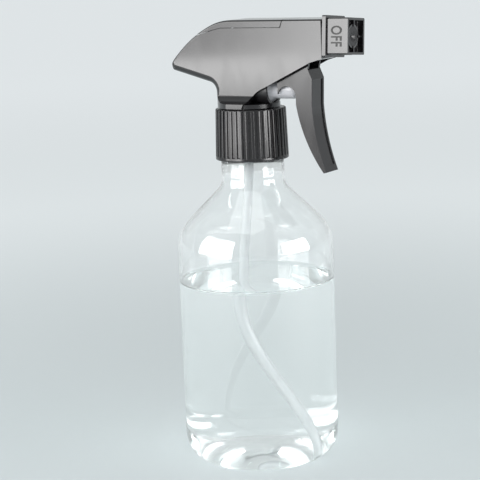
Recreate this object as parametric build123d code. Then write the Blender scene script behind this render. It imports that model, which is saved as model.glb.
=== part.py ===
from build123d import *
import math
import os

# Hand mister: a clear bottle with a trigger spray head. Millimetres, +Z up, +X towards the nozzle.
# The origin is at the centre of the base, on the surface the bottle stands on.

# bottle
body_r = 37.35
wall = 0.8
base_wall = 1.3
foot_r = 28.5            # outer edge of the flat contact ring
foot_width = 2.0
heel_height = 13.0
dome_height = 9.0
shoulder_z = 111.25      # where the straight wall and the 45 degree shoulder would meet
shoulder_round = 20.0
neck_r = 15.0
neck_round = 8.0
finish_z = 149.8         # foot of the screw finish
finish_r = 12.5
bore_r = 10.85
rim_z = 165.6

# closure
closure_z = 145.8
closure_top_z = 169.9
closure_r = 17.4
closure_top_r = 16.7
closure_roof = 1.6
closure_hole_r = 10.2
closure_bore_r = 13.95
rib_count = 38
rib_depth = 0.55
rib_width = 1.25
band_height = 1.8        # smooth band below the ribs

# head
gap = 0.3                # between pieces that turn past each other
gasket_t = 1.0
flange_t = 1.5
tube_x = -2.0            # centre of the dip tube and the riser
tube_r = 2.25
tube_bore_r = 1.6
collar_z = closure_top_z + 0.4
collar_t = 1.9
collar_r = 14.2
valve_seat_z = 164.9     # foot of the inlet valve's cone
valve_seat_r = 1.3
valve_seat_h = 1.15
valve_rise = 33.0        # from the inlet valve up to the outlet valve
chamber_r = 2.45         # room round each ball
spring_seat_z = 206.0    # top end of the outlet spring
plunger_floor_x = 20.0   # inner end of the bore in the piston
riser_r = 4.4
riser_top_z = 208.6
plug_r = 3.1
ball_r = 2.0
pump_z = 178.6           # axis of the pump cylinder
pump_r = 7.5
pump_bore_r = 6.2
pump_back_x = 2.5
pump_mouth_x = 13.2
jet_z = 203.0            # axis of the discharge tube and the nozzle
jet_r = 3.6
jet_bore_r = 1.4
spigot_r = 5.25
spigot_end_x = 51.0

# shroud
half_width = 9.7
shell_t = 1.5
head_top_z = 211.3
front_x = 44.0
throat_x = -13.7
skirt_r = 15.6
skirt_half = 14.9        # half width of the shroud's foot, over the collar
skirt_top_z = 176.4
lid_z = 207.6            # underside of the top cover's edge

# trigger
pivot = (33.0, 197.0)
pin_r = 1.6
trigger_half = 6.0
cheek_t = 1.4
face_t = 1.5
pusher_x = 28.0          # rear face of the rib that drives the piston
nose_r = 4.3             # ball nose of the piston
nose_gap = 0.15
piston_back = 5.6        # from the pump's rear wall to the piston at rest

# nozzle
nozzle_turn = 4.5        # degrees that the cap stands off its stop
plate_half = 9.4
block_half = 8.3
nozzle_back_x = 44.3
plate_x = 46.2
nozzle_front_x = 56.8
insert_r = 4.45
insert_face_x = 55.3

os.makedirs("parts", exist_ok=True)


def profile(*points):
    """A face on the XZ plane with straight sides."""
    return Plane.XZ * make_face(Polyline(*points, close=True))


def slab(face, half):
    """A face on the XZ plane, pulled out both ways to a full width of two halves."""
    return extrude(face, amount=half, both=True)


def rod_x(radius, x0, x1, z, y=0.0):
    """A cylinder along X."""
    start = Plane(origin=(x0, y, z), x_dir=(0, 1, 0), z_dir=(1, 0, 0))
    return extrude(start * Circle(radius), amount=x1 - x0)


def rod_z(radius, z0, z1, x=0.0):
    """A cylinder along Z."""
    return extrude(Plane(origin=(x, 0, z0)) * Circle(radius), amount=z1 - z0)


def rod_y(radius, y0, y1, x, z):
    """A cylinder along Y."""
    start = Plane(origin=(x, y0, z), x_dir=(1, 0, 0), z_dir=(0, 1, 0))
    return extrude(start * Circle(radius), amount=y1 - y0)


def block_x(half, x0, x1, z, edge):
    """A square bar along X with rounded long edges."""
    start = Plane(origin=(x0, 0, z), x_dir=(0, 1, 0), z_dir=(1, 0, 0))
    return extrude(start * RectangleRounded(2 * half, 2 * half, edge), amount=x1 - x0)


def bottle_skin(side, floor, neck, top):
    """The bottle's outline set in from its outer skin by the side and floor thickness."""
    radius = body_r - side
    corner_z = shoulder_z - side * (math.sqrt(2) - 1)
    neck_corner_z = corner_z + radius - neck
    bends = FilletPolyline(
        (radius, heel_height), (radius, corner_z), (neck, neck_corner_z), (neck, top),
        radius=[shoulder_round - side, neck_round + side],
    )
    heel = EllipticalCenterArc(
        (foot_r, heel_height), radius - foot_r, heel_height - floor, start_angle=-90, arc_size=90,
    )
    edge = foot_r - foot_width
    dome_r = (edge ** 2 + dome_height ** 2) / (2 * dome_height)
    dome_sweep = math.degrees(math.asin(edge / dome_r))
    dome = CenterArc((0, dome_height + floor - dome_r), dome_r, 90, -dome_sweep)
    foot = Line((foot_r - foot_width, floor), (foot_r, floor))
    return [dome, foot, heel, bends]


def make_bottle():
    outer = bottle_skin(0, 0, neck_r, finish_z)
    outer += [Polyline(
        (neck_r, finish_z), (finish_r, finish_z), (finish_r, rim_z), (0, rim_z), (0, dome_height),
    )]
    throat = neck_r - 1.0
    inner = bottle_skin(wall, base_wall, throat, finish_z - 4)
    inner += [Polyline(
        (throat, finish_z - 4), (bore_r, finish_z + 1), (bore_r, rim_z + 1),
        (0, rim_z + 1), (0, dome_height + base_wall),
    )]
    body = revolve(Plane.XZ * make_face(outer), Axis.Z)
    hollow = revolve(Plane.XZ * make_face(inner), Axis.Z)
    body -= hollow
    bead = Plane.XZ * (Pos(finish_r + 0.1, finish_z + 1.6) * Circle(0.7))
    return body + revolve(bead, Axis.Z)


def make_closure():
    shell = revolve(profile(
        (closure_hole_r, closure_top_z), (closure_top_r - 0.9, closure_top_z),
        (closure_top_r, closure_top_z - 0.9), (closure_r, closure_z + 0.5), (closure_r - 0.3, closure_z),
        (neck_r + gap, closure_z), (neck_r + gap, finish_z + 0.6), (closure_bore_r, finish_z + 2.0),
        (closure_bore_r, closure_top_z - closure_roof), (closure_hole_r, closure_top_z - closure_roof),
    ))
    pitch = 2 * math.pi * closure_r / rib_count
    lean = math.degrees(math.atan2(closure_r - closure_top_r, closure_top_z - closure_z))
    groove = Pos(closure_r - rib_depth, 0, closure_z + band_height) * Rot(0, -lean, 0) * Box(
        3, pitch - rib_width, closure_top_z - closure_z, align=(Align.MIN, Align.CENTER, Align.MIN))
    grooves = [Rot(0, 0, i * 360 / rib_count) * groove for i in range(rib_count)]
    return shell - grooves


def make_gasket():
    top = rim_z + gasket_t
    inner = bore_r - 0.3
    return revolve(profile((inner, rim_z), (finish_r, rim_z), (finish_r, top), (inner, top)))


def make_neck_plug():
    flange_z = rim_z + gasket_t + 0.05
    top = flange_z + flange_t
    plug = revolve(profile(
        (0, flange_z), (bore_r - 1.6, flange_z), (bore_r - 1.6, flange_z - 6), (bore_r - 0.75, flange_z - 6),
        (bore_r - 0.45, flange_z - 1.5), (bore_r - 0.45, flange_z), (finish_r + 0.6, flange_z),
        (finish_r + 0.6, top), (closure_hole_r - gap, top), (closure_hole_r - gap, collar_z), (0, collar_z),
    ))
    plug += rod_z(tube_r + 1.3, 154.0, flange_z, tube_x)
    plug -= rod_z(tube_r + 0.03, 153.0, 163.0, tube_x)
    plug -= rod_z(1.3, 162.0, 166.0, tube_x)
    plug -= rod_z(chamber_r, valve_seat_z + valve_seat_h - 0.05, collar_z + 1, tube_x)
    return plug - valve_seat(valve_seat_z)


def valve_seat(height):
    """The 45 degree cone that a valve ball sits in."""
    seat = Cone(valve_seat_r, chamber_r, valve_seat_h, align=(Align.CENTER, Align.CENTER, Align.MIN))
    return Pos(tube_x, 0, height) * seat


def ball_rest_z():
    """Height at which the inlet ball sits on its seat."""
    return valve_seat_z + ball_r * math.sqrt(2) - valve_seat_r + 0.02


def make_inlet_ball():
    return Pos(tube_x, 0, ball_rest_z()) * Sphere(ball_r)


def make_dip_tube():
    """A plastic tube that hangs in the neck and curls forward to the foot of the bottle."""
    route = [
        (tube_x, 163.0), (tube_x, 142.0), (tube_x - 2.0, 120.0), (tube_x - 4.8, 99.0),
        (tube_x - 5.8, 80.0), (tube_x - 3.6, 64.0), (tube_x + 2.8, 49.5), (tube_x + 11.4, 36.0),
        (tube_x + 20.6, 23.0), (tube_x + 27.4, 12.5), (tube_x + 30.0, 3.6),
    ]
    radii = bend_radii(route)
    print("tube bend radii", [round(radius, 1) for radius in radii])
    path = Plane.XZ * FilletPolyline(*route, radius=radii)
    start = Plane(origin=path @ 0, z_dir=path % 0)
    tube = sweep(start * Circle(tube_r), path=path)
    return tube - sweep(start * Circle(tube_bore_r), path=path)


def bend_radii(route):
    """The largest arc that each corner's two runs allow."""
    radii = []
    for before, here, after in zip(route, route[1:], route[2:]):
        run_in = Vector(*here) - Vector(*before)
        run_out = Vector(*after) - Vector(*here)
        turn = math.radians(run_in.get_angle(run_out))
        radii.append(0.45 * min(run_in.length, run_out.length) / math.tan(turn / 2))
    return radii


def make_pump_body():
    body = rod_z(collar_r, collar_z, collar_z + collar_t)
    body += rod_z(riser_r, collar_z, riser_top_z, tube_x)
    body += rod_x(pump_r, pump_back_x - 1.5, pump_mouth_x, pump_z)
    body += rod_x(jet_r, tube_x, 40.0, jet_z)
    body += slab(profile((-1, 184), (10, 184), (16, 191), (28, 198), (28, jet_z), (-1, jet_z)), 1.0)
    body += slab(profile((29, 193.2), (35.5, 193.2), (36.5, jet_z), (27, jet_z)), 4.2)
    body += rod_y(pin_r, -trigger_half + 0.1, trigger_half - 0.1, *pivot)
    body += rod_x(6.5, 38.5, 40.5, jet_z)
    body += rod_x(spigot_r, 40.0, spigot_end_x, jet_z)
    body -= rod_x(spigot_r + 2, 46.6, 48.2, jet_z) - rod_x(4.5, 46.0, 49.0, jet_z)
    body -= rod_z(1.9, collar_z - 1, 198.0, tube_x)
    outlet_seat_z = valve_seat_z + valve_rise
    body -= rod_z(chamber_r, outlet_seat_z + valve_seat_h - 0.05, spring_seat_z, tube_x)
    body -= valve_seat(outlet_seat_z)
    body -= rod_z(plug_r, spring_seat_z, 210.0, tube_x)
    body -= rod_x(pump_bore_r, pump_back_x, pump_mouth_x + 1, pump_z)
    body -= rod_x(1.0, tube_x, pump_back_x + 0.5, pump_z)
    body -= rod_x(jet_bore_r, tube_x, 46.0, jet_z)
    body -= rod_x(3.5, 45.0, spigot_end_x + 1, jet_z)
    return body


def make_riser_plug():
    plug = rod_z(plug_r, spring_seat_z, riser_top_z, tube_x)
    return plug + rod_z(1.2, spring_seat_z - 1.4, spring_seat_z, tube_x)


def make_outlet_ball():
    return Pos(tube_x, 0, ball_rest_z() + valve_rise) * Sphere(ball_r)


def coil(radius, wire_r, length, turns, place):
    """A compression spring that starts at the plane given and runs along its normal."""
    rise = length - 2 * wire_r
    path = Pos(0, 0, wire_r) * Helix(pitch=rise / turns, height=rise, radius=radius)
    start = Plane(origin=path @ 0, z_dir=path % 0)
    return place * sweep(start * Circle(wire_r), path=path)


def make_outlet_spring():
    ball_top = ball_rest_z() + valve_rise + ball_r
    return coil(1.6, 0.2, spring_seat_z - ball_top - 0.05, 3, Plane(origin=(tube_x, 0, ball_top + 0.03)))


def make_return_spring():
    start = Plane(origin=(pump_back_x + 0.05, 0, pump_z), x_dir=(0, 1, 0), z_dir=(1, 0, 0))
    return coil(2.5, 0.35, plunger_floor_x - pump_back_x - 0.1, 6, start)


def make_piston():
    """A ball-nosed plunger, bored from behind for its spring."""
    nose_x = pusher_x - nose_gap - nose_r
    nose_side = nose_r * math.sqrt(0.5)
    back_x = pump_back_x + piston_back
    outline = make_face([
        Polyline(
            (back_x, 3.2), (back_x, 5.9), (back_x + 1.0, 5.9), (back_x + 1.0, 5.2), (back_x + 2.8, 5.2),
            (back_x + 2.8, 5.95), (12.2, 5.95), (14.4, nose_r), (nose_x, nose_r),
        ),
        ThreePointArc((nose_x, nose_r), (nose_x + nose_side, nose_side), (nose_x + nose_r, 0)),
        Polyline((nose_x + nose_r, 0), (plunger_floor_x, 0), (plunger_floor_x, 3.2), (back_x, 3.2)),
    ])
    return Pos(0, 0, pump_z) * revolve(Plane.XZ * outline, Axis.X)


def make_piston_seal():
    back_x = pump_back_x + piston_back + 1.05
    front_x = back_x + 1.7
    ring = profile((back_x, 5.2), (front_x, 5.2), (front_x, 5.9), (back_x + 0.9, 6.0), (back_x, 6.15))
    return Pos(0, 0, pump_z) * revolve(ring, Axis.X)


def shroud_outline():
    """The head's side view: flat top, long rear slope, pointed tail, throat and sloping front."""
    crown = (-4.0, head_top_z)
    knee = (-15.0, 208.97)
    tail = (-38.6, 190.2)
    rear = [
        Line((front_x, head_top_z), crown),
        RadiusArc(crown, knee, -27.0),
        RadiusArc(knee, tail, -62.0),
    ]
    under = FilletPolyline(
        tail, (-37.9, 187.9), (throat_x - 0.2, 181.4), (throat_x, 170.4), radius=[1.2, 5.0])
    foot = Line((throat_x, 170.4), (3.8, 170.4))
    chin = [
        ThreePointArc((3.8, 170.4), (6.8, 175.7), (13.0, 179.9)),
        Line((13.0, 179.9), (37.6, 191.7)),
        Line((37.6, 191.7), (front_x, 193.5)),
        Line((front_x, 193.5), (front_x, head_top_z)),
    ]
    return Plane.XZ * make_face(rear + [under, foot] + chin)


def head_form():
    """The solid outer form that the shroud and the top cover share."""
    form = slab(shroud_outline(), half_width)
    sides = form.edges().filter_by(lambda edge: abs(abs(edge.center().Y) - half_width) < 0.01)
    lower = sides.filter_by(
        lambda edge: edge.center().X < throat_x + 1 and edge.center().Z < 189.5 and edge.length > 0.5)
    form = fillet(lower, 3.3)
    sides = form.edges().filter_by(lambda edge: abs(abs(edge.center().Y) - half_width) < 0.01)
    upper = sides.filter_by(lambda edge: edge.center().Z > 195 and edge.center().X < front_x - 0.1)
    return fillet(upper, 1.1)


def head_hollow():
    """The room inside the shroud, open below at the throat and behind the trigger."""
    crown = (-4.0, head_top_z - shell_t)
    knee = (-14.4, 207.6)
    tail = (-35.6, 190.9)
    rear = [
        Line((front_x - shell_t, crown[1]), crown),
        RadiusArc(crown, knee, -27.0 + shell_t),
        RadiusArc(knee, tail, -62.0 + shell_t),
    ]
    rest = Polyline(
        tail, (throat_x + 1.0, 184.2), (throat_x + shell_t, 180.0), (throat_x + shell_t, 160.0),
        (8.0, 160.0), (front_x - shell_t, 180.0), (front_x - shell_t, crown[1]))
    room = slab(Plane.XZ * make_face(rear + [rest]), half_width - shell_t)
    return fillet(room.edges().filter_by(lambda edge: edge.center().Z < 188 and edge.center().X < -13), 2.0)


def lid_zone(inset):
    """The part of the head's top that lifts off as the cover."""
    return slab(profile(
        (-26.0 + inset, 203.7 + inset), (-9.4, lid_z + inset), (23.0 - inset, lid_z + inset),
        (25.2 - inset, 214.0), (-30.0, 214.0),
    ), half_width + 1)


def make_shroud():
    shell = head_form()
    shell += skirt()
    shell -= head_hollow()
    shell -= rod_z(collar_r + 0.1, 160.0, collar_z + collar_t + 0.1)
    shell -= rod_x(spigot_r + 0.5, front_x - 3, front_x + 1, jet_z)
    return shell - lid_zone(0)


def skirt():
    """The foot of the shroud, whose side walls sweep out over the collar."""
    foot_z = 170.4
    band_z = 172.6
    section = Plane.YZ * make_face([
        Line((-half_width, skirt_top_z), (half_width, skirt_top_z)),
        ThreePointArc((half_width, skirt_top_z), (11.5, 173.9), (skirt_half, band_z)),
        Polyline((skirt_half, band_z), (skirt_half, foot_z), (-skirt_half, foot_z), (-skirt_half, band_z)),
        ThreePointArc((-skirt_half, band_z), (-11.5, 173.9), (-half_width, skirt_top_z)),
    ])
    walls = extrude(section, amount=20.0, both=True) & slab(shroud_outline(), skirt_half + 1)
    return walls & rod_z(skirt_r, foot_z, skirt_top_z)


def make_top_cover():
    lid = head_form() & lid_zone(0.08)
    return lid - head_hollow()


def front_edge(shift):
    """The trigger's finger side, moved back by a distance."""
    return [
        Line((34.6 - shift, 188.6), (36.6 - shift, 184.0)),
        Line((36.6 - shift, 184.0), (36.2 - shift, 172.0)),
        ThreePointArc((36.2 - shift, 172.0), (38.3 - shift, 156.0), (42.7 - shift, 141.0)),
    ]


def make_trigger():
    boss_r = 3.4
    arch = (23.2, 175.8)
    arch_r = 4.8
    arch_end = (arch[0] - arch_r, arch[1] + 1.0)
    boss_back = (pivot[0] - boss_r, pivot[1] - 1.5)
    boss_front = (pivot[0] + boss_r, pivot[1] - 0.5)
    outline = Plane.XZ * make_face(front_edge(0) + [
        Line((42.7, 141.0), (41.5, 140.7)),
        ThreePointArc((41.5, 140.7), (33.4, 154.4), (28.0, 172.0)),
        Line((28.0, 172.0), (arch[0] + arch_r, arch[1])),
        ThreePointArc((arch[0] + arch_r, arch[1]), (arch[0], arch[1] + arch_r), arch_end),
        Polyline(arch_end, (18.4, 184.0), boss_back),
        ThreePointArc(boss_back, (pivot[0], pivot[1] + boss_r), boss_front),
        Line(boss_front, (34.6, 188.6)),
    ])
    lever = slab(outline, trigger_half)
    channel = Plane.XZ * make_face(front_edge(face_t) + [
        Line((42.7 - face_t, 141.0), (40.4, 142.0)),
        Polyline((40.4, 142.0), (20.0, 142.0), (10.0, 186.0), (26.0, 205.0), (45.0, 205.0), (45.0, 188.2),
                 (34.0, 188.2), (34.6 - face_t, 188.6)),
    ])
    lever -= slab(channel, trigger_half - cheek_t)
    pusher = slab(profile((pusher_x, 172.0), (pusher_x, 183.6), (pusher_x + 1.5, 183.6), (36.0, 174.0),
                          (36.0, 172.0)), trigger_half - cheek_t / 2)
    lever += pusher & slab(outline, trigger_half)
    pad = Plane.XZ * make_face(front_edge(0.5)[1:] + [
        Polyline((42.2, 141.0), (46.0, 141.0), (46.0, 184.0), (36.1, 184.0))])
    pad = slab(pad, trigger_half - 1.3) & (Pos(40, 0, 163.7) * Box(40, 40, 39.6))
    lever -= pad
    return lever - rod_y(pin_r + 0.06, -10, 10, *pivot)


def make_nozzle_cap():
    cap = block_x(plate_half, nozzle_back_x, plate_x, jet_z, 0.8)
    cap += block_x(block_half, plate_x, nozzle_front_x, jet_z, 0.8)
    cap -= rod_x(spigot_r + 0.08, nozzle_back_x - 1, spigot_end_x + 0.2, jet_z)
    recess = block_x(block_half - 1.1, nozzle_front_x - 3.0, nozzle_front_x + 1, jet_z, 0.4)
    recess -= rod_x(insert_r + 1.0, nozzle_front_x - 4, insert_face_x, jet_z)
    for turn in (0, 90):
        rib = Pos(nozzle_front_x - 2.5, 0, 0) * Box(3.0, 0.7, 2 * block_half)
        recess -= Pos(0, 0, jet_z) * Rot(turn, 0, 0) * rib
    cap -= recess
    cap -= rod_x(insert_r, spigot_end_x, nozzle_front_x + 1, jet_z)
    return about_jet(cap)


def about_jet(solid):
    """Turned about the nozzle's axis by the angle that the cap stands off its stop."""
    return Pos(0, 0, jet_z) * Rot(-nozzle_turn, 0, 0) * Pos(0, 0, -jet_z) * solid


def make_orifice_insert():
    disc = rod_x(insert_r - 0.02, spigot_end_x + 0.3, insert_face_x, jet_z)
    dish = Plane(origin=(insert_face_x - 1.1, 0, jet_z), z_dir=(1, 0, 0)) * Cone(
        0.5, 3.0, 1.2, align=(Align.CENTER, Align.CENTER, Align.MIN))
    chamber = rod_x(1.6, spigot_end_x, spigot_end_x + 0.9, jet_z)
    return disc - dish - chamber - rod_x(0.35, spigot_end_x, insert_face_x, jet_z)


def make_swirl_core():
    core = rod_x(3.4, 45.2, spigot_end_x, jet_z)
    core -= rod_x(2.0, 45.0, 48.0, jet_z)
    slot = Pos(spigot_end_x - 2, 3.0, jet_z) * Box(7, 1.2, 1.2)
    for turn in (0, 120, 240):
        core -= Pos(0, 0, jet_z) * Rot(turn, 0, 0) * Pos(0, 0, -jet_z) * slot
    return core


def make_nozzle_seal():
    ring = Plane.XZ * (Pos(47.4, 4.5 + 0.39) * Circle(0.37))
    return Pos(0, 0, jet_z) * revolve(ring, Axis.X)


nodes = {
    "bottle": make_bottle,
    "closure": make_closure,
    "gasket": make_gasket,
    "neck_plug": make_neck_plug,
    "inlet_ball": make_inlet_ball,
    "dip_tube": make_dip_tube,
    "pump_body": make_pump_body,
    "riser_plug": make_riser_plug,
    "outlet_ball": make_outlet_ball,
    "outlet_spring": make_outlet_spring,
    "return_spring": make_return_spring,
    "piston": make_piston,
    "piston_seal": make_piston_seal,
    "shroud": make_shroud,
    "top_cover": make_top_cover,
    "trigger": make_trigger,
    "nozzle_cap": make_nozzle_cap,
    "orifice_insert": make_orifice_insert,
    "swirl_core": make_swirl_core,
    "nozzle_seal": make_nozzle_seal,
}
for node, make in nodes.items():
    solid = make()
    export_step(solid, f"parts/{node}.step")
    print(node, round(solid.volume, 1))
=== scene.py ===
"""Looks for a hand mister: a clear bottle of water with a black trigger spray head.

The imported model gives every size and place. The bottle, the closure and the shells are rebuilt as finer
meshes where the model has them, and everything else keeps its own mesh under a better material.
"""

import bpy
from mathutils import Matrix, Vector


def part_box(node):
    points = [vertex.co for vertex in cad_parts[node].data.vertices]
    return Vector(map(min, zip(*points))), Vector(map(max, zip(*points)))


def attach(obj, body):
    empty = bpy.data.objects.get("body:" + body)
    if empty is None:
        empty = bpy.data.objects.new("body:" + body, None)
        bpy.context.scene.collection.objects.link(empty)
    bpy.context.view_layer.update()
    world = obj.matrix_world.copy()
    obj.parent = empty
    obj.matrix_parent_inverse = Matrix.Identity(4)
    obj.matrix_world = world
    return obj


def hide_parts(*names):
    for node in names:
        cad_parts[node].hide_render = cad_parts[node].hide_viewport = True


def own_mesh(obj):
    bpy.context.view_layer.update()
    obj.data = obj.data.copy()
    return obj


bl_info = {
    "name": "Hand Mister",
    "version": (1, 0, 0),
    "blender": (4, 5, 0),
    "location": "View3D > Sidebar > Mister",
    "description": "Builds the pieces, finishes and studio of a hand mister around its packed model",
    "category": "Object",
}

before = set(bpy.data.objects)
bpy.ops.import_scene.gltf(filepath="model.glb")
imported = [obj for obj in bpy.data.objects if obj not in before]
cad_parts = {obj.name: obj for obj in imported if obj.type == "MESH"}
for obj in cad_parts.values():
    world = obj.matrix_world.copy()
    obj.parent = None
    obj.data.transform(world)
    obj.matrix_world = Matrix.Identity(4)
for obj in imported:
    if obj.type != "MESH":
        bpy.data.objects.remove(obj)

import math

import bmesh
import bpy
from mathutils import Matrix, Vector

MM = 0.001
FULL_TURN = 2 * math.pi
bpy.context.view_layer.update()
BOTTLE_LOW, BOTTLE_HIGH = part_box("bottle")
CLOSURE_LOW, CLOSURE_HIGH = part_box("closure")
NOZZLE_LOW, NOZZLE_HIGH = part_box("nozzle_cap")
NOZZLE_REST_TURN = math.radians(4.5)
CLEAR_PLASTIC_IOR = 1.57
WATER_IOR = 1.333


# ---------------------------------------------------------------- node trees


class Value:
    """A socket that can be written into arithmetic, which adds Math nodes to its tree."""

    def __init__(self, tree, socket):
        self.tree = tree
        self.socket = socket

    def _math(self, operation, *terms):
        return self.tree.add("ShaderNodeMath", {"operation": operation}, dict(enumerate(terms)))[0]

    def __add__(self, other):
        return self._math("ADD", self, other)

    def __radd__(self, other):
        return self._math("ADD", other, self)

    def __sub__(self, other):
        return self._math("SUBTRACT", self, other)

    def __rsub__(self, other):
        return self._math("SUBTRACT", other, self)

    def __mul__(self, other):
        return self._math("MULTIPLY", self, other)

    def __rmul__(self, other):
        return self._math("MULTIPLY", other, self)

    def __truediv__(self, other):
        return self._math("DIVIDE", self, other)

    def __rtruediv__(self, other):
        return self._math("DIVIDE", other, self)

    def step(self, low, high):
        """0 below low and 1 above high, with a smooth rise between them."""
        ranged = self.tree.add(
            "ShaderNodeMapRange", {"interpolation_type": "SMOOTHSTEP"},
            {"Value": self, "From Min": low, "From Max": high},
        )
        return ranged["Result"]


class Made:
    """A node that has been added, whose outputs are read by name or number."""

    def __init__(self, tree, node):
        self.tree = tree
        self.node = node

    def __getitem__(self, key):
        return Value(self.tree, self.node.outputs[key])


class Tree:
    """A shader or geometry node tree that is built by calls."""

    def __init__(self, nodes):
        self.nodes = nodes

    def add(self, kind, settings=None, inputs=None):
        """One node of a type, with its settings and then the values or links of its sockets."""
        node = self.nodes.nodes.new(kind)
        for name, setting in (settings or {}).items():
            setattr(node, name, setting)
        for key, value in (inputs or {}).items():
            if isinstance(value, Value):
                self.nodes.links.new(value.socket, node.inputs[key])
            else:
                node.inputs[key].default_value = value
        return Made(self, node)

    def mix(self, factor, first, second):
        """A colour between two colours."""
        return self.add(
            "ShaderNodeMix", {"data_type": "RGBA"}, {0: factor, 6: first, 7: second})[2]

    def place(self, scale):
        """Object coordinates, stretched by a scale."""
        where = self.add("ShaderNodeTexCoord")["Object"]
        return self.add("ShaderNodeMapping", None, {"Vector": where, "Scale": scale})["Vector"]

    def noise(self, scale, detail, stretch=(1, 1, 1)):
        """Soft noise from 0 to 1, whose scale counts its grains in a metre."""
        return self.add("ShaderNodeTexNoise", None, {
            "Vector": self.place(stretch), "Scale": scale, "Detail": detail})["Fac"]

    def bump(self, height, depth):
        """A normal from a height of 0 to 1 that stands for a depth in metres."""
        return self.add("ShaderNodeBump", None, {"Height": height, "Distance": depth})["Normal"]


def grey(level):
    """An even grey, from 0 to 1."""
    return (level, level, level, 1.0)


def shaded(colour, times):
    """A colour times a factor, and opaque."""
    return (*[times * part for part in colour[:3]], 1.0)


def new_material(name, preview):
    """A material with an empty tree and its output node."""
    material = bpy.data.materials.new(name)
    material.use_nodes = True
    material.node_tree.nodes.clear()
    material.diffuse_color = preview
    tree = Tree(material.node_tree)
    return material, tree, tree.add("ShaderNodeOutputMaterial").node


def link_surface(tree, output, shader):
    """Joins a shader to the material's output."""
    tree.nodes.links.new(shader.socket, output.inputs["Surface"])


# ---------------------------------------------------------------- finishes


def moulded(name, dark, light, gloss, grain=0.00002, grain_size=2600, waves=0.0, specular=0.5, coat=0.0):
    """Moulded plastic: a little colour drift, rubbed patches in its gloss, a fine grain and soft waves."""
    material, tree, output = new_material(name, light)
    drift = tree.noise(38, 2)
    rubbed = tree.noise(160, 4, (1, 1, 0.35)).step(0.42, 0.72)
    fine = tree.noise(grain_size, 2)
    height = fine * grain
    if waves:
        height = height + tree.noise(70, 1, (1, 1, 0.6)) * waves
    shader = tree.add("ShaderNodeBsdfPrincipled", None, {
        "Base Color": tree.mix(drift, dark, light),
        "Roughness": rubbed * (gloss[1] - gloss[0]) + gloss[0],
        "IOR": 1.5,
        "Specular IOR Level": specular,
        "Coat Weight": coat,
        "Coat Roughness": 0.06,
        "Normal": tree.bump(height, 1.0),
    })
    link_surface(tree, output, shader["BSDF"])
    return material


def clear_material(name, tint, ior, passed, wave_depth, haze):
    """A clear body that bends sight and lets lamps through, with a very slight waviness."""
    material, tree, output = new_material(name, (*tint[:3], 0.3))
    wave = tree.noise(55, 1, (1, 1, 0.45)) + tree.noise(9, 1, (1, 1, 3.0))
    glass = tree.add("ShaderNodeBsdfPrincipled", None, {
        "Base Color": tree.mix(tree.noise(25, 1), tint, shaded(tint, 0.99)),
        "Roughness": 0.0,
        "IOR": ior,
        "Transmission Weight": 1.0 - haze,
        "Normal": tree.bump(wave * wave_depth, 1.0),
    })
    through = tree.add("ShaderNodeBsdfTransparent", None, {"Color": passed})
    lamps = tree.add("ShaderNodeLightPath")["Is Shadow Ray"]
    mixed = tree.add("ShaderNodeMixShader", None, {0: lamps, 1: glass["BSDF"], 2: through["BSDF"]})
    link_surface(tree, output, mixed[0])
    return material


def tube_material():
    """Milky extruded tube that lets some light through, with faint lines along it."""
    material, tree, output = new_material("dip_tube_finish", (0.86, 0.88, 0.9, 1))
    lines = tree.noise(900, 2, (1, 1, 0.02))
    shader = tree.add("ShaderNodeBsdfPrincipled", None, {
        "Base Color": tree.mix(lines, (0.40, 0.43, 0.44, 1), (0.47, 0.50, 0.51, 1)),
        "Roughness": lines * 0.12 + 0.30,
        "IOR": 1.5,
        "Transmission Weight": 0.45,
        "Normal": tree.bump(lines * 0.00002, 1.0),
    })
    link_surface(tree, output, shader["BSDF"])
    return material


def steel_material(name, roughness):
    """Drawn or ground steel with fine scratches."""
    material, tree, output = new_material(name, (0.6, 0.6, 0.61, 1))
    scratch = tree.noise(3500, 3, (1, 1, 0.08))
    shader = tree.add("ShaderNodeBsdfPrincipled", None, {
        "Base Color": tree.mix(scratch, (0.50, 0.50, 0.51, 1), (0.68, 0.68, 0.69, 1)),
        "Metallic": 1.0,
        "Roughness": scratch * 0.12 + roughness,
        "Normal": tree.bump(scratch * 0.000008, 1.0),
    })
    link_surface(tree, output, shader["BSDF"])
    return material


def floor_material(near, far):
    """Pale paper, whose glow grows with the distance, so that it stays pale where the lamps don't reach."""
    material, tree, output = new_material("floor_finish", near)
    where = tree.add("ShaderNodeTexCoord")["Object"]
    reach = tree.add("ShaderNodeVectorMath", {"operation": "LENGTH"}, {0: where})["Value"]
    near_glow, middle_glow = (0.145, 0.155, 0.155, 1), (0.44, 0.455, 0.46, 1)
    glow = tree.mix(reach.step(0.06, 0.85), near_glow, middle_glow)
    glow = tree.mix(reach.step(0.6, 2.4), glow, far)
    fibre = tree.noise(240, 4)
    shader = tree.add("ShaderNodeBsdfPrincipled", None, {
        "Base Color": near,
        "Roughness": fibre * 0.1 + 0.6,
        "Specular IOR Level": 0.1,
        "Emission Color": glow,
        "Emission Strength": 1.0,
        "Normal": tree.bump(fibre * 0.00005, 1.0),
    })
    link_surface(tree, output, shader["BSDF"])
    return material


def card_material(name, brightest, share):
    """A glowing card; share works out its brightness, as a share of the brightest, from the place on it."""
    material, tree, output = new_material(name, grey(1))
    where = tree.add("ShaderNodeTexCoord")["Object"]
    parts = tree.add("ShaderNodeSeparateXYZ", None, {0: where})
    glow = tree.mix(share(parts["X"], parts["Y"], parts["Z"]), grey(0), grey(1))
    shader = tree.add("ShaderNodeBsdfPrincipled", None, {
        "Base Color": grey(0),
        "Specular IOR Level": 0.0,
        "Emission Color": glow,
        "Emission Strength": brightest,
    })
    link_surface(tree, output, shader["BSDF"])
    return material


# ---------------------------------------------------------------- meshes


def paint(piece, material):
    """Gives a piece one material all over."""
    piece.data.materials.clear()
    piece.data.materials.append(material)


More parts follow.
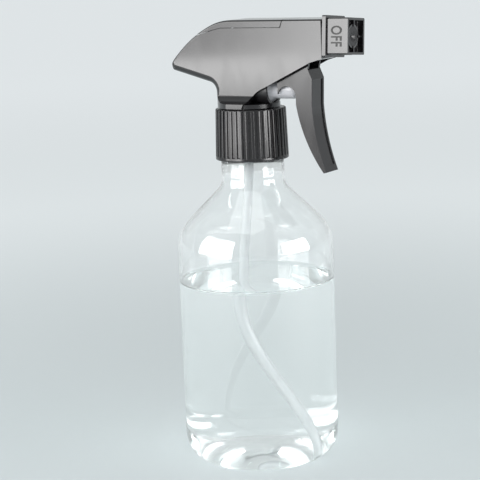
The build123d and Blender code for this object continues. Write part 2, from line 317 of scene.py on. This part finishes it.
def add_piece(name, mesh, material=None):
    """An object at the origin with a mesh and one material."""
    piece = bpy.data.objects.new(name, mesh)
    bpy.context.scene.collection.objects.link(piece)
    if material is not None:
        paint(piece, material)
    return piece


def lathe(name, outline, sides, sharp=35):
    """A closed solid of revolution about Z from (radius, height) points that start and end on the axis."""
    built = bmesh.new()
    rings = []
    for radius, height in outline:
        if radius < 1e-7:
            rings.append([built.verts.new((0, 0, height))])
        else:
            angles = [FULL_TURN * i / sides for i in range(sides)]
            rings.append([
                built.verts.new((radius * math.cos(angle), radius * math.sin(angle), height))
                for angle in angles])
    for one, two in zip(rings, rings[1:]):
        for i in range(sides):
            j = (i + 1) % sides
            corners = [one[i % len(one)], one[j % len(one)], two[j % len(two)], two[i % len(two)]]
            corners = list(dict.fromkeys(corners))
            if len(corners) > 2:
                built.faces.new(corners)
    if len(rings[0]) > 1:
        for i in range(sides):
            j = (i + 1) % sides
            built.faces.new([rings[-1][i], rings[-1][j], rings[0][j], rings[0][i]])
    bmesh.ops.recalc_face_normals(built, faces=built.faces)
    return finish_mesh(name, built, sharp)


def finish_mesh(name, built, sharp):
    """A mesh from a bmesh, smooth except at edges sharper than an angle in degrees."""
    mesh = bpy.data.meshes.new(name)
    built.to_mesh(mesh)
    built.free()
    mesh.shade_smooth()
    mesh.set_sharp_from_angle(angle=math.radians(sharp))
    return mesh


def evaluated_mesh(source):
    """What an object looks like with its modifiers, or as text, as a plain mesh."""
    return bpy.data.meshes.new_from_object(source.evaluated_get(bpy.context.evaluated_depsgraph_get()))


def apply_modifiers(piece):
    """Turns a piece's evaluated result into its own plain mesh."""
    mesh = evaluated_mesh(piece)
    piece.modifiers.clear()
    piece.data = mesh


def welded_copy(node, name, edge, material):
    """A CAD node's mesh, welded, with its sharp edges rounded by a small radius, in a material."""
    weld, flat, sharp = 0.004 * MM, 0.4, 32
    built = bmesh.new()
    built.from_mesh(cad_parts[node].data)
    bmesh.ops.remove_doubles(built, verts=built.verts, dist=weld)
    bmesh.ops.dissolve_limit(
        built, angle_limit=math.radians(flat), verts=built.verts, edges=built.edges)
    piece = add_piece(name, finish_mesh(name, built, sharp))
    if edge:
        bevel = piece.modifiers.new("edges", "BEVEL")
        bevel.width = edge
        bevel.segments = 2
        bevel.limit_method = "ANGLE"
        bevel.angle_limit = math.radians(sharp)
        evened = piece.modifiers.new("evened", "WEIGHTED_NORMAL")
        evened.mode = "FACE_AREA"
        evened.keep_sharp = True
        apply_modifiers(piece)
    paint(piece, material)
    return piece


def arc(centre, radii, start, end, steps):
    """Points round part of a circle or an ellipse, in degrees, both ends included."""
    points = []
    for i in range(steps + 1):
        angle = math.radians(start + (end - start) * i / steps)
        points.append((centre[0] + radii[0] * math.cos(angle), centre[1] + radii[1] * math.sin(angle)))
    return points


def stand_in(piece, body, slot, *nodes):
    """A finished piece moves with a body and may stand for CAD nodes, which are hidden; the slot is not used.
    """
    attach(piece, body)
    if nodes:
        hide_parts(*nodes)


# ---------------------------------------------------------------- sizes and colours


class BottleSettings(bpy.types.PropertyGroup):
    """The bottle and what is in it."""

    wall: bpy.props.FloatProperty(
        name="Wall", description="Thickness of the bottle's side", default=0.8 * MM, unit="LENGTH")
    base_wall: bpy.props.FloatProperty(
        name="Base wall", description="Thickness of the bottle's base", default=1.3 * MM, unit="LENGTH")
    foot_radius: bpy.props.FloatProperty(
        name="Foot", description="Outer radius of the ring it stands on", default=28.5 * MM, unit="LENGTH")
    foot_width: bpy.props.FloatProperty(
        name="Foot width", description="Width of the ring it stands on", default=2 * MM, unit="LENGTH")
    heel: bpy.props.FloatProperty(
        name="Heel", description="Height of the rounded heel", default=13 * MM, unit="LENGTH")
    dome: bpy.props.FloatProperty(
        name="Dome", description="How far the base is pushed up", default=9 * MM, unit="LENGTH")
    shoulder: bpy.props.FloatProperty(
        name="Shoulder", description="Height where the wall and the shoulder meet",
        default=111.25 * MM, unit="LENGTH")
    shoulder_round: bpy.props.FloatProperty(
        name="Shoulder round", description="Radius between wall and shoulder", default=20 * MM, unit="LENGTH")
    neck: bpy.props.FloatProperty(
        name="Neck", description="Outer radius of the neck", default=15 * MM, unit="LENGTH")
    neck_round: bpy.props.FloatProperty(
        name="Neck round", description="Radius between shoulder and neck", default=8 * MM, unit="LENGTH")
    finish: bpy.props.FloatProperty(
        name="Finish", description="Height of the foot of the screw finish",
        default=149.8 * MM, unit="LENGTH")
    finish_radius: bpy.props.FloatProperty(
        name="Finish radius", description="Radius under the threads", default=12.5 * MM, unit="LENGTH")
    bore: bpy.props.FloatProperty(
        name="Bore", description="Radius of the mouth", default=10.85 * MM, unit="LENGTH")
    water_level: bpy.props.FloatProperty(
        name="Water level", description="Height of the water's surface", default=86.8 * MM, unit="LENGTH")
    meniscus: bpy.props.FloatProperty(
        name="Meniscus", description="Height that the water climbs at the wall",
        default=1.4 * MM, unit="LENGTH")
    tint: bpy.props.FloatVectorProperty(
        name="Tint", description="Colour of the bottle's plastic", subtype="COLOR", size=4,
        default=(0.985, 0.995, 0.995, 1), min=0, max=1)


class HeadSettings(bpy.types.PropertyGroup):
    """The spray head and the closure."""

    edge: bpy.props.FloatProperty(
        name="Edge round", description="Radius on moulded edges", default=0.22 * MM, unit="LENGTH")
    rib_count: bpy.props.IntProperty(
        name="Ribs", description="Grip ribs round the closure", default=38, min=8)
    rib_depth: bpy.props.FloatProperty(
        name="Rib depth", description="How far a rib stands out", default=0.55 * MM, unit="LENGTH")
    band: bpy.props.FloatProperty(
        name="Band", description="Height of the plain band below the ribs", default=1.8 * MM, unit="LENGTH")
    letters: bpy.props.FloatProperty(
        name="Letters", description="Height of the position letters", default=4.6 * MM, unit="LENGTH")
    black: bpy.props.FloatVectorProperty(
        name="Black", description="Colour of the black plastic", subtype="COLOR", size=4,
        default=(0.006, 0.0056, 0.0062, 1), min=0, max=1)


# ---------------------------------------------------------------- bottle and water


def bottle_side(sizes, side, floor, neck, top):
    """The outline of the bottle's side, set in from the outside, from the foot ring up to a height."""
    body = BOTTLE_HIGH.x
    radius = body - side
    turn = math.tan(math.radians(22.5))
    corner = sizes.shoulder - side * turn
    big = sizes.shoulder_round - side
    small = sizes.neck_round + side
    neck_corner = corner + radius - neck
    points = arc(
        (sizes.foot_radius, sizes.heel), (radius - sizes.foot_radius, sizes.heel - floor), -90, 0, 18)
    points += arc((radius - big, corner - big * turn), (big, big), 0, 45, 16)
    points += arc((neck + small, neck_corner + small * turn), (small, small), 225, 180, 12)
    points.append((neck, top))
    return points


def bottle_floor(sizes, floor):
    """The outline of the pushed-up base, from the axis out to the foot ring."""
    edge = sizes.foot_radius - sizes.foot_width
    radius = (edge ** 2 + sizes.dome ** 2) / (2 * sizes.dome)
    sweep = math.degrees(math.asin(edge / radius))
    return arc((0, sizes.dome + floor - radius), (radius, radius), 90, 90 - sweep, 16)


class MISTER_OT_bottle(bpy.types.Operator):
    """Build the clear bottle with the screw thread on its neck"""

    bl_idname = "mister.bottle"
    bl_label = "Bottle"

    def execute(self, context):
        sizes = context.scene.mister_bottle
        rim = BOTTLE_HIGH.z
        throat = sizes.neck - 1.0 * MM
        lip = 0.5 * MM
        outside = bottle_floor(sizes, 0) + bottle_side(sizes, 0, 0, sizes.neck, sizes.finish)
        outside += [(sizes.finish_radius, sizes.finish), (sizes.finish_radius, rim - lip)]
        outside += arc((sizes.finish_radius - lip, rim - lip), (lip, lip), 0, 90, 4)
        inside = bottle_floor(sizes, sizes.base_wall)
        inside += bottle_side(sizes, sizes.wall, sizes.base_wall, throat, sizes.finish - 4 * MM)
        inside += [(sizes.bore, sizes.finish + 1 * MM), (sizes.bore, rim)]
        clear = clear_material(
            "clear_bottle", tuple(sizes.tint), CLEAR_PLASTIC_IOR, (0.97, 0.98, 0.98, 1),
            wave_depth=0.00003, haze=0.012)
        bottle = add_piece("bottle_shell", lathe("bottle_shell", outside + inside[::-1], 192), clear)
        stand_in(bottle, "bottle", "clear_pet", "bottle")
        thread = thread_piece("neck_thread", clear, sizes)
        stand_in(thread, "bottle", "clear_pet")
        return {"FINISHED"}


def thread_piece(name, material, sizes):
    """A screw thread wound round the neck by geometry nodes."""
    group = bpy.data.node_groups.new("screw_thread", "GeometryNodeTree")
    sockets = {}
    for title, kind, value in (
        ("Radius", "NodeSocketFloat", sizes.finish_radius + 0.25 * MM),
        ("Turns", "NodeSocketFloat", 1.6),
        ("Pitch", "NodeSocketFloat", 4.23 * MM),
        ("Crest", "NodeSocketFloat", 0.7 * MM),
        ("Foot height", "NodeSocketFloat", sizes.finish + 4.2 * MM),
    ):
        made = group.interface.new_socket(title, in_out="INPUT", socket_type=kind)
        made.default_value = value
        sockets[title] = (made.identifier, value)
    group.interface.new_socket("Geometry", in_out="OUTPUT", socket_type="NodeSocketGeometry")
    tree = Tree(group)
    given = tree.add("NodeGroupInput")
    winding = tree.add("GeometryNodeCurveSpiral", None, {
        "Resolution": 96, "Rotations": given["Turns"], "Start Radius": given["Radius"],
        "End Radius": given["Radius"], "Height": given["Turns"] * given["Pitch"]})
    lifted = tree.add("ShaderNodeCombineXYZ", None, {"Z": given["Foot height"]})
    raised = tree.add("GeometryNodeTransform", None, {
        "Geometry": winding["Curve"], "Translation": lifted["Vector"]})
    section = tree.add("GeometryNodeCurvePrimitiveCircle", None, {"Resolution": 12, "Radius": given["Crest"]})
    along = tree.add("GeometryNodeSplineParameter")["Factor"]
    ends = along.step(0.0, 0.04) * (1 - along.step(0.96, 1.0))
    tapered = tree.add("GeometryNodeSetCurveRadius", None, {
        "Curve": raised["Geometry"], "Radius": ends * 0.98 + 0.02})
    swept = tree.add("GeometryNodeCurveToMesh", None, {
        "Curve": tapered["Curve"], "Profile Curve": section["Curve"], "Fill Caps": True})
    solid = tree.add("GeometryNodeRealizeInstances", None, {"Geometry": swept["Mesh"]})
    finished = tree.add("GeometryNodeSetMaterial", None, {
        "Geometry": solid["Geometry"], "Material": material})
    out = tree.add("NodeGroupOutput")
    group.links.new(finished["Geometry"].socket, out.node.inputs[0])
    piece = add_piece(name, bpy.data.meshes.new(name))
    return run_tree(piece, group, sockets)


def run_tree(piece, group, sockets):
    """Runs a geometry tree on a piece and keeps its result as a plain smooth mesh."""
    modifier = piece.modifiers.new(group.name, "NODES")
    modifier.node_group = group
    for identifier, value in sockets.values():
        modifier[identifier] = value
    apply_modifiers(piece)
    piece.data.shade_smooth()
    piece.data.set_sharp_from_angle(angle=math.radians(35))
    return piece


class MISTER_OT_water(bpy.types.Operator):
    """Fill the bottle with water up to its level, climbing a little at the wall"""

    bl_idname = "mister.water"
    bl_label = "Water"

    def execute(self, context):
        sizes = context.scene.mister_bottle
        lap = 0.08 * MM
        side = bottle_side(sizes, sizes.wall - lap, sizes.base_wall - lap, sizes.neck, sizes.finish)
        edge = BOTTLE_HIGH.x - sizes.wall + lap
        top = sizes.water_level + sizes.meniscus
        outline = bottle_floor(sizes, sizes.base_wall - lap)
        outline += [point for point in side if point[1] < sizes.water_level - 1 * MM]
        outline.append((edge, top))
        reach, fall, steps = 3.2 * MM, 3.2, 12
        for i in range(1, steps + 1):
            climb = sizes.meniscus * math.exp(-fall * i / steps)
            outline.append((edge - reach * i / steps, sizes.water_level + climb))
        outline.append((0, sizes.water_level))
        clear = clear_material(
            "water", (0.985, 0.995, 0.992, 1), WATER_IOR, (0.985, 0.99, 0.99, 1), wave_depth=0.0, haze=0.004)
        water = add_piece("water", lathe("water", outline, 192), clear)
        stand_in(water, "bottle", "clear_pet")
        return {"FINISHED"}


# ---------------------------------------------------------------- closure


def rib_ring(name, rib, count, material):
    """Copies of one rib set round the Z axis by geometry nodes."""
    group = bpy.data.node_groups.new("rib_ring", "GeometryNodeTree")
    group.interface.new_socket("Geometry", in_out="INPUT", socket_type="NodeSocketGeometry")
    number = group.interface.new_socket("Count", in_out="INPUT", socket_type="NodeSocketInt")
    group.interface.new_socket("Geometry", in_out="OUTPUT", socket_type="NodeSocketGeometry")
    tree = Tree(group)
    given = tree.add("NodeGroupInput")
    points = tree.add("GeometryNodePoints", None, {"Count": given["Count"]})
    turn = tree.add("GeometryNodeInputIndex")["Index"] * FULL_TURN / given["Count"]
    facing = tree.add("ShaderNodeCombineXYZ", None, {"Z": turn})
    copies = tree.add("GeometryNodeInstanceOnPoints", None, {
        "Points": points["Points"], "Instance": given["Geometry"], "Rotation": facing["Vector"]})
    solid = tree.add("GeometryNodeRealizeInstances", None, {"Geometry": copies["Instances"]})
    finished = tree.add("GeometryNodeSetMaterial", None, {
        "Geometry": solid["Geometry"], "Material": material})
    out = tree.add("NodeGroupOutput")
    group.links.new(finished["Geometry"].socket, out.node.inputs[0])
    return run_tree(add_piece(name, rib), group, {"Count": (number.identifier, count)})


def bar(name, section_at, heights):
    """A closed bar from its cross-section at a list of heights; a section is a list of (x, y) points."""
    built = bmesh.new()
    rings = [[built.verts.new((x, y, z)) for x, y in section_at(z)] for z in heights]
    size = len(rings[0])
    for one, two in zip(rings, rings[1:]):
        for i in range(size):
            j = (i + 1) % size
            built.faces.new([one[i], one[j], two[j], two[i]])
    built.faces.new(rings[0])
    built.faces.new(rings[-1])
    bmesh.ops.recalc_face_normals(built, faces=built.faces)
    return finish_mesh(name, built, 40)


class MISTER_OT_closure(bpy.types.Operator):
    """Build the screw closure with its grip ribs"""

    bl_idname = "mister.closure"
    bl_label = "Closure"

    def execute(self, context):
        sizes = context.scene.mister_head
        low, high = CLOSURE_LOW.z, CLOSURE_HIGH.z
        foot_radius = CLOSURE_HIGH.x
        top_radius = foot_radius - 0.7 * MM
        hole = 10.2 * MM
        bore = 13.95 * MM
        roof = 1.6 * MM
        soft = 0.5 * MM
        foot_round = 0.35 * MM
        skirt_splay = 1.3 * MM
        crown = 0.7 * MM
        band_top = low + sizes.band

        def skin(z):
            return foot_radius + (top_radius - foot_radius) * (z - low) / (high - low)

        core_top = skin(high) - sizes.rib_depth
        outline = [(bore + skirt_splay, low), (foot_radius - foot_round, low)]
        outline += arc((foot_radius - foot_round, low + foot_round), (foot_round, foot_round), -90, 0, 4)[1:]
        outline += [(skin(band_top - 0.3 * MM), band_top - 0.3 * MM),
                    (skin(band_top) - 0.15 * MM, band_top - 0.05 * MM),
                    (skin(band_top) - sizes.rib_depth, band_top + 0.15 * MM)]
        outline += arc((core_top - soft, high - soft), (soft, soft), 0, 90, 5)
        outline += [(hole, high), (hole, high - roof), (bore, high - roof), (bore, low + 6 * MM),
                    (bore + skirt_splay, low + 4.6 * MM)]
        black = moulded(
            "closure_black", tuple(sizes.black), shaded(sizes.black, 1.5),
            (0.20, 0.32), grain=0.000002, waves=0.000003)
        shell = add_piece("closure_shell", lathe("closure_shell", outline, 152), black)
        stand_in(shell, "closure", "black_pp", "closure")

        pitch = FULL_TURN * foot_radius / sizes.rib_count
        groove = 1.25 * MM
        half = (pitch - groove) * 0.5 * 0.98

        def section(z):
            sunk = 0.8 * MM
            near_top = max(0.0, (z - (high - crown)) / crown)
            crest = skin(z) - crown * (1 - math.sqrt(max(0.0, 1 - near_top ** 2)))
            root = skin(z) - sizes.rib_depth - sunk
            bend = 0.28 * MM
            return [
                (root, -half), (crest - bend, -half), (crest - 0.3 * bend, -half + 0.3 * bend),
                (crest, -half + bend), (crest, half - bend), (crest - 0.3 * bend, half - 0.3 * bend),
                (crest - bend, half), (root, half)]

        heights = [band_top - 0.5 * MM, high - crown] + [
            high - under * MM for under in (0.5, 0.3, 0.15, 0.05)]
        ribs = rib_ring("closure_ribs", bar("closure_rib", section, heights), sizes.rib_count, black)
        stand_in(ribs, "closure", "black_pp")
        return {"FINISHED"}


# ---------------------------------------------------------------- head


def open_seam(mesh, gap):
    """Draws the cover's ends and lower edges back a little, so that its seam reads as a dark line."""
    low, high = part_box("top_cover")
    middle = (low.x + high.x) / 2
    shorter = 1 - 2 * gap / (high.x - low.x)
    for vert in mesh.vertices:
        vert.co.x = middle + (vert.co.x - middle) * shorter
        vert.co.z += gap * (high.z - vert.co.z) / (high.z - low.z)


class MISTER_OT_shells(bpy.types.Operator):
    """Finish the shroud and its snap-in top cover with rounded edges and polished plastic"""

    bl_idname = "mister.shells"
    bl_label = "Shroud and cover"

    def execute(self, context):
        sizes = context.scene.mister_head
        gloss = moulded(
            "shell_black", tuple(sizes.black), shaded(sizes.black, 1.3),
            (0.09, 0.14), grain=0.0000005, waves=0.000002, specular=0.5, coat=0.5)
        for node in ("shroud", "top_cover"):
            shell = welded_copy(node, node + "_shell", sizes.edge, gloss)
            if node == "top_cover":
                open_seam(shell.data, 0.3 * MM)
            stand_in(shell, "head", "gloss_black", node)
        return {"FINISHED"}


class MISTER_OT_trigger(bpy.types.Operator):
    """Finish the trigger with rounded edges and satin plastic"""

    bl_idname = "mister.trigger"
    bl_label = "Trigger"

    def execute(self, context):
        sizes = context.scene.mister_head
        satin = moulded(
            "trigger_black", tuple(sizes.black), shaded(sizes.black, 1.6),
            (0.14, 0.22), grain=0.000001, waves=0.000002, specular=0.4, coat=0.2)
        lever = welded_copy("trigger", "trigger_lever", sizes.edge, satin)
        stand_in(lever, "trigger", "satin_black", "trigger")
        return {"FINISHED"}


class MISTER_OT_nozzle(bpy.types.Operator):
    """Finish the turning nozzle and letter its positions"""

    bl_idname = "mister.nozzle"
    bl_label = "Nozzle"

    def execute(self, context):
        sizes = context.scene.mister_head
        satin = moulded(
            "nozzle_black", tuple(sizes.black), shaded(sizes.black, 1.5),
            (0.12, 0.20), grain=0.000001, waves=0.000001, specular=0.5, coat=0.45)
        cap = welded_copy("nozzle_cap", "nozzle_block", sizes.edge, satin)
        stand_in(cap, "nozzle", "satin_black", "nozzle_cap")
        dull = moulded(
            "disc_black", tuple(sizes.black), shaded(sizes.black, 1.5), (0.2, 0.3), specular=0.4)
        insert = welded_copy("orifice_insert", "orifice_disc", 0.1 * MM, dull)
        stand_in(insert, "nozzle", "satin_black", "orifice_insert")
        ink = moulded("letter_black", grey(0.006), grey(0.010), (0.35, 0.5), specular=0.3)
        jet = Vector((0, 0, (NOZZLE_HIGH.z + NOZZLE_LOW.z) / 2))
        middle = NOZZLE_HIGH.x - 6.0 * MM
        panel = 8.3 * MM
        face = Matrix(((0, 1, 0, middle), (0, 0, -1, -panel), (-1, 0, 0, 0), (0, 0, 0, 1)))
        narrowed = Matrix.Diagonal((0.8, 1.15, 1, 1))
        for i, word in enumerate(("OFF", "SPRAY", "OFF", "STREAM")):
            label = letters(word, sizes.letters if word == "OFF" else sizes.letters * 0.55)
            turn = Matrix.Rotation(FULL_TURN * i / 4 - NOZZLE_REST_TURN, 4, "X")
            label.transform(Matrix.Translation(jet) @ turn @ face @ narrowed)
            piece = add_piece(f"position_{word.lower()}_{i}", label, ink)
            stand_in(piece, "nozzle", "satin_black")
        return {"FINISHED"}


def letters(word, height):
    """Raised lettering as a mesh, centred on the origin and facing +Z."""
    size_for_capitals = 1.42
    text = bpy.data.curves.new("letters", "FONT")
    text.body = word
    text.size = height * size_for_capitals
    text.align_x = "CENTER"
    text.align_y = "CENTER"
    text.extrude = 0.09 * MM
    text.bevel_depth = 0.02 * MM
    text.space_character = 1.06
    text.offset = 0.1 * MM
    source = bpy.data.objects.new("letters", text)
    bpy.context.scene.collection.objects.link(source)
    mesh = evaluated_mesh(source)
    bpy.data.objects.remove(source)
    return mesh


def spring(node, material):
    """A coil: a welded copy of its CAD node in a material, which moves with the head and keeps its own mesh.
    """
    coil = welded_copy(node, node + "_coil", 0, material)
    stand_in(coil, "head", "spring_steel", node)
    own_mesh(coil)


class MISTER_OT_works(bpy.types.Operator):
    """Give the pump, its valves, the springs, the seals and the dip tube their finishes"""

    bl_idname = "mister.works"
    bl_label = "Pump works"

    def execute(self, context):
        sizes = context.scene.mister_head
        dark = moulded("works_black", tuple(sizes.black), shaded(sizes.black, 1.6), (0.22, 0.36))
        # Painted shade: natural plastic is whitish, and this mid grey is darker on purpose to paint the shade
        # that the piston and the swirl core sit in inside the head.
        natural_with_painted_shade = moulded("natural_plastic_painted_shade", (0.36, 0.36, 0.38, 1), (0.42, 0.42, 0.44, 1), (0.28, 0.4))
        foam = moulded(
            "seal_foam", (0.78, 0.78, 0.76, 1), (0.9, 0.9, 0.88, 1), (0.7, 0.85),
            grain=0.00012, grain_size=1500)
        rubber = moulded("seal_rubber", grey(0.05), grey(0.09), (0.45, 0.6), grain=0.00003)
        ball = steel_material("ball_steel", 0.12)
        wire = steel_material("spring_wire", 0.2)
        for node, finish in {
            "neck_plug": dark, "riser_plug": dark, "gasket": foam,
            "piston_seal": rubber, "nozzle_seal": rubber, "inlet_ball": ball, "outlet_ball": ball,
            "swirl_core": natural_with_painted_shade,
        }.items():
            paint(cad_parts[node], finish)
        spring("return_spring", wire)
        spring("outlet_spring", wire)
        for node, name, edge, finish, body, slot in (
            ("pump_body", "pump_frame", 0.15 * MM, dark, "head", "black_pp"),
            ("piston", "piston_rod", 0, natural_with_painted_shade, "piston", "natural_pp"),
            ("dip_tube", "dip_tube_length", 0, tube_material(), "head", "tube_ldpe"),
        ):
            stand_in(welded_copy(node, name, edge, finish), body, slot, node)
        return {"FINISHED"}


# ---------------------------------------------------------------- studio


def around(azimuth, distance, height):
    """A place round the object: azimuth 0 is in front of its right side, and it grows towards the nozzle."""
    angle = math.radians(azimuth)
    return Vector((distance * math.sin(angle), -distance * math.cos(angle), height))


def card(name, azimuth, distance, width, low, high, brightest, share):
    """An upright glowing card that faces the object and that the camera itself doesn't see.

    share gives the brightness from the place along the card, towards the nozzle's side, and the height.
    """
    angle = math.radians(azimuth)
    along = Vector((math.cos(angle), math.sin(angle), 0))
    foot = around(azimuth, distance, 0)
    built = bmesh.new()
    corners = [(-0.5, high), (0.5, high), (0.5, low), (-0.5, low)]
    built.faces.new([
        built.verts.new(foot + along * width * u + Vector((0, 0, z))) for u, z in corners])
    mesh = bpy.data.meshes.new(name)
    built.to_mesh(mesh)
    built.free()
    shown = add_piece(name, mesh, card_material(
        name, brightest, lambda x, y, z: share(x * along.x + y * along.y, z)))
    shown.visible_camera = False


def within(u, half, fade):
    """1 on a card and 0 at its two upright edges, with a fade of a given width."""
    return u.step(-half, fade - half) * (1 - u.step(half - fade, half))


def left_share(u, z):
    """The left card: brighter below a line, darker in the middle above it, and faded out at its edges."""
    line, blur = 0.138, 0.004
    below = 1 - z.step(line - blur, line + blur)
    lower = 0.13 + z.step(0.06, 0.130) * 0.60
    upper = 0.29 + u.step(-0.04, 0.13) * 0.31 + (1 - u.step(-0.32, -0.1)) * 0.2
    drift = u.step(0.05, 0.4) * 0.22 + z.step(0.16, 0.3) * 0.08
    return (below * lower + (1 - below) * upper + drift) * within(u, 0.5, 0.09) * (1 - z.step(0.68, 0.9))


def right_share(u, z):
    """The right card: even, and faded out at its edges."""
    return z.step(0.06, 0.16) * (1 - z.step(0.5, 0.62)) * within(u, 0.38, 0.08)


def top_lamp(height, size, radiance):
    """A wide soft lamp overhead, of a given brightness."""
    lamp = bpy.data.lights.new("top_box", "AREA")
    lamp.shape = "SQUARE"
    lamp.size = size
    lamp.energy = radiance * math.pi * size ** 2
    light = bpy.data.objects.new("top_box", lamp)
    light.location = (-0.1, -0.25, height)
    bpy.context.scene.collection.objects.link(light)


class MISTER_OT_stage(bpy.types.Operator):
    """Lay the pale floor, hang the soft lights and set up the camera"""

    bl_idname = "mister.stage"
    bl_label = "Studio"

    def execute(self, context):
        scene = context.scene
        scene.view_settings.view_transform = "Standard"
        scene.cycles.max_bounces = 32
        scene.cycles.transmission_bounces = 32
        scene.cycles.glossy_bounces = 12
        scene.cycles.transparent_max_bounces = 32
        world = bpy.data.worlds.new("studio")
        world.use_nodes = True
        sky = world.node_tree.nodes["Background"]
        sky.inputs["Color"].default_value = (0.80, 0.84, 0.85, 1)
        sky.inputs["Strength"].default_value = 0.72
        scene.world = world
        floor_radius, floor_gap = 14, 0.02 * MM
        built = bmesh.new()
        bmesh.ops.create_circle(built, cap_ends=True, radius=floor_radius, segments=96)
        for vert in built.verts:
            vert.co.z = -floor_gap
        floor = add_piece(
            "floor", finish_mesh("floor", built, 30),
            floor_material(near=(0.30, 0.330, 0.338, 1), far=(0.53, 0.545, 0.555, 1)))
        card("left_card", -32, 0.85, 1.0, 0.0, 0.9, 12.0, left_share)
        card("right_card", 93, 0.85, 0.76, 0.06, 0.62, 11.0, right_share)
        top_lamp(1.4, 0.9, 1.0)
        camera = bpy.data.cameras.new("camera")
        camera.lens = 115.97
        camera.sensor_width = 36
        camera.clip_start = 0.01
        holder = bpy.data.objects.new("camera", camera)
        scene.collection.objects.link(holder)
        holder.matrix_world = camera_matrix()
        scene.camera = holder
        return {"FINISHED"}


def camera_matrix():
    """The camera stands in front of the nozzle's side and looks a little down, with a slight roll."""
    heading = math.radians(31)
    distance, height = 0.7313, 0.24285
    yaw, down, roll = (math.radians(a) for a in (0.584, 10.589, 2.219))
    turned = Matrix.Rotation(heading, 3, "Z")
    forward = turned @ Vector(
        (-math.sin(yaw) * math.cos(down), math.cos(yaw) * math.cos(down), -math.sin(down)))
    right = turned @ Vector((math.cos(yaw), math.sin(yaw), 0))
    up = right.cross(forward)
    across = right * math.cos(roll) - up * math.sin(roll)
    above = right * math.sin(roll) + up * math.cos(roll)
    place = Vector((distance * math.sin(heading), -distance * math.cos(heading), height))
    axes = Matrix((across, above, -forward)).transposed().to_4x4()
    return Matrix.Translation(place) @ axes


class MISTER_PT_panel(bpy.types.Panel):
    """Lists the steps that build the mister"""

    bl_idname = "MISTER_PT_panel"
    bl_label = "Hand Mister"
    bl_space_type = "VIEW_3D"
    bl_region_type = "UI"
    bl_category = "Mister"

    def draw(self, context):
        for group in (context.scene.mister_bottle, context.scene.mister_head):
            for name in group.__annotations__:
                self.layout.prop(group, name)
        for step in STEPS:
            self.layout.operator(step.bl_idname)


GROUPS = {"mister_bottle": BottleSettings, "mister_head": HeadSettings}
STEPS = (
    MISTER_OT_bottle, MISTER_OT_water, MISTER_OT_closure, MISTER_OT_shells, MISTER_OT_trigger,
    MISTER_OT_nozzle, MISTER_OT_works, MISTER_OT_stage,
)


def register():
    """Adds the settings, the steps and the panel to Blender."""
    for kind in (*GROUPS.values(), *STEPS, MISTER_PT_panel):
        bpy.utils.register_class(kind)
    for name, kind in GROUPS.items():
        setattr(bpy.types.Scene, name, bpy.props.PointerProperty(type=kind))


def unregister():
    """Takes them away again."""
    for name in GROUPS:
        delattr(bpy.types.Scene, name)
    for kind in (MISTER_PT_panel, *reversed(STEPS), *GROUPS.values()):
        bpy.utils.unregister_class(kind)


def main():
    """Builds everything."""
    register()
    bpy.ops.mister.bottle()
    bpy.ops.mister.water()
    bpy.ops.mister.closure()
    bpy.ops.mister.shells()
    bpy.ops.mister.trigger()
    bpy.ops.mister.nozzle()
    bpy.ops.mister.works()
    bpy.ops.mister.stage()


if __name__ == "__main__":
    main()
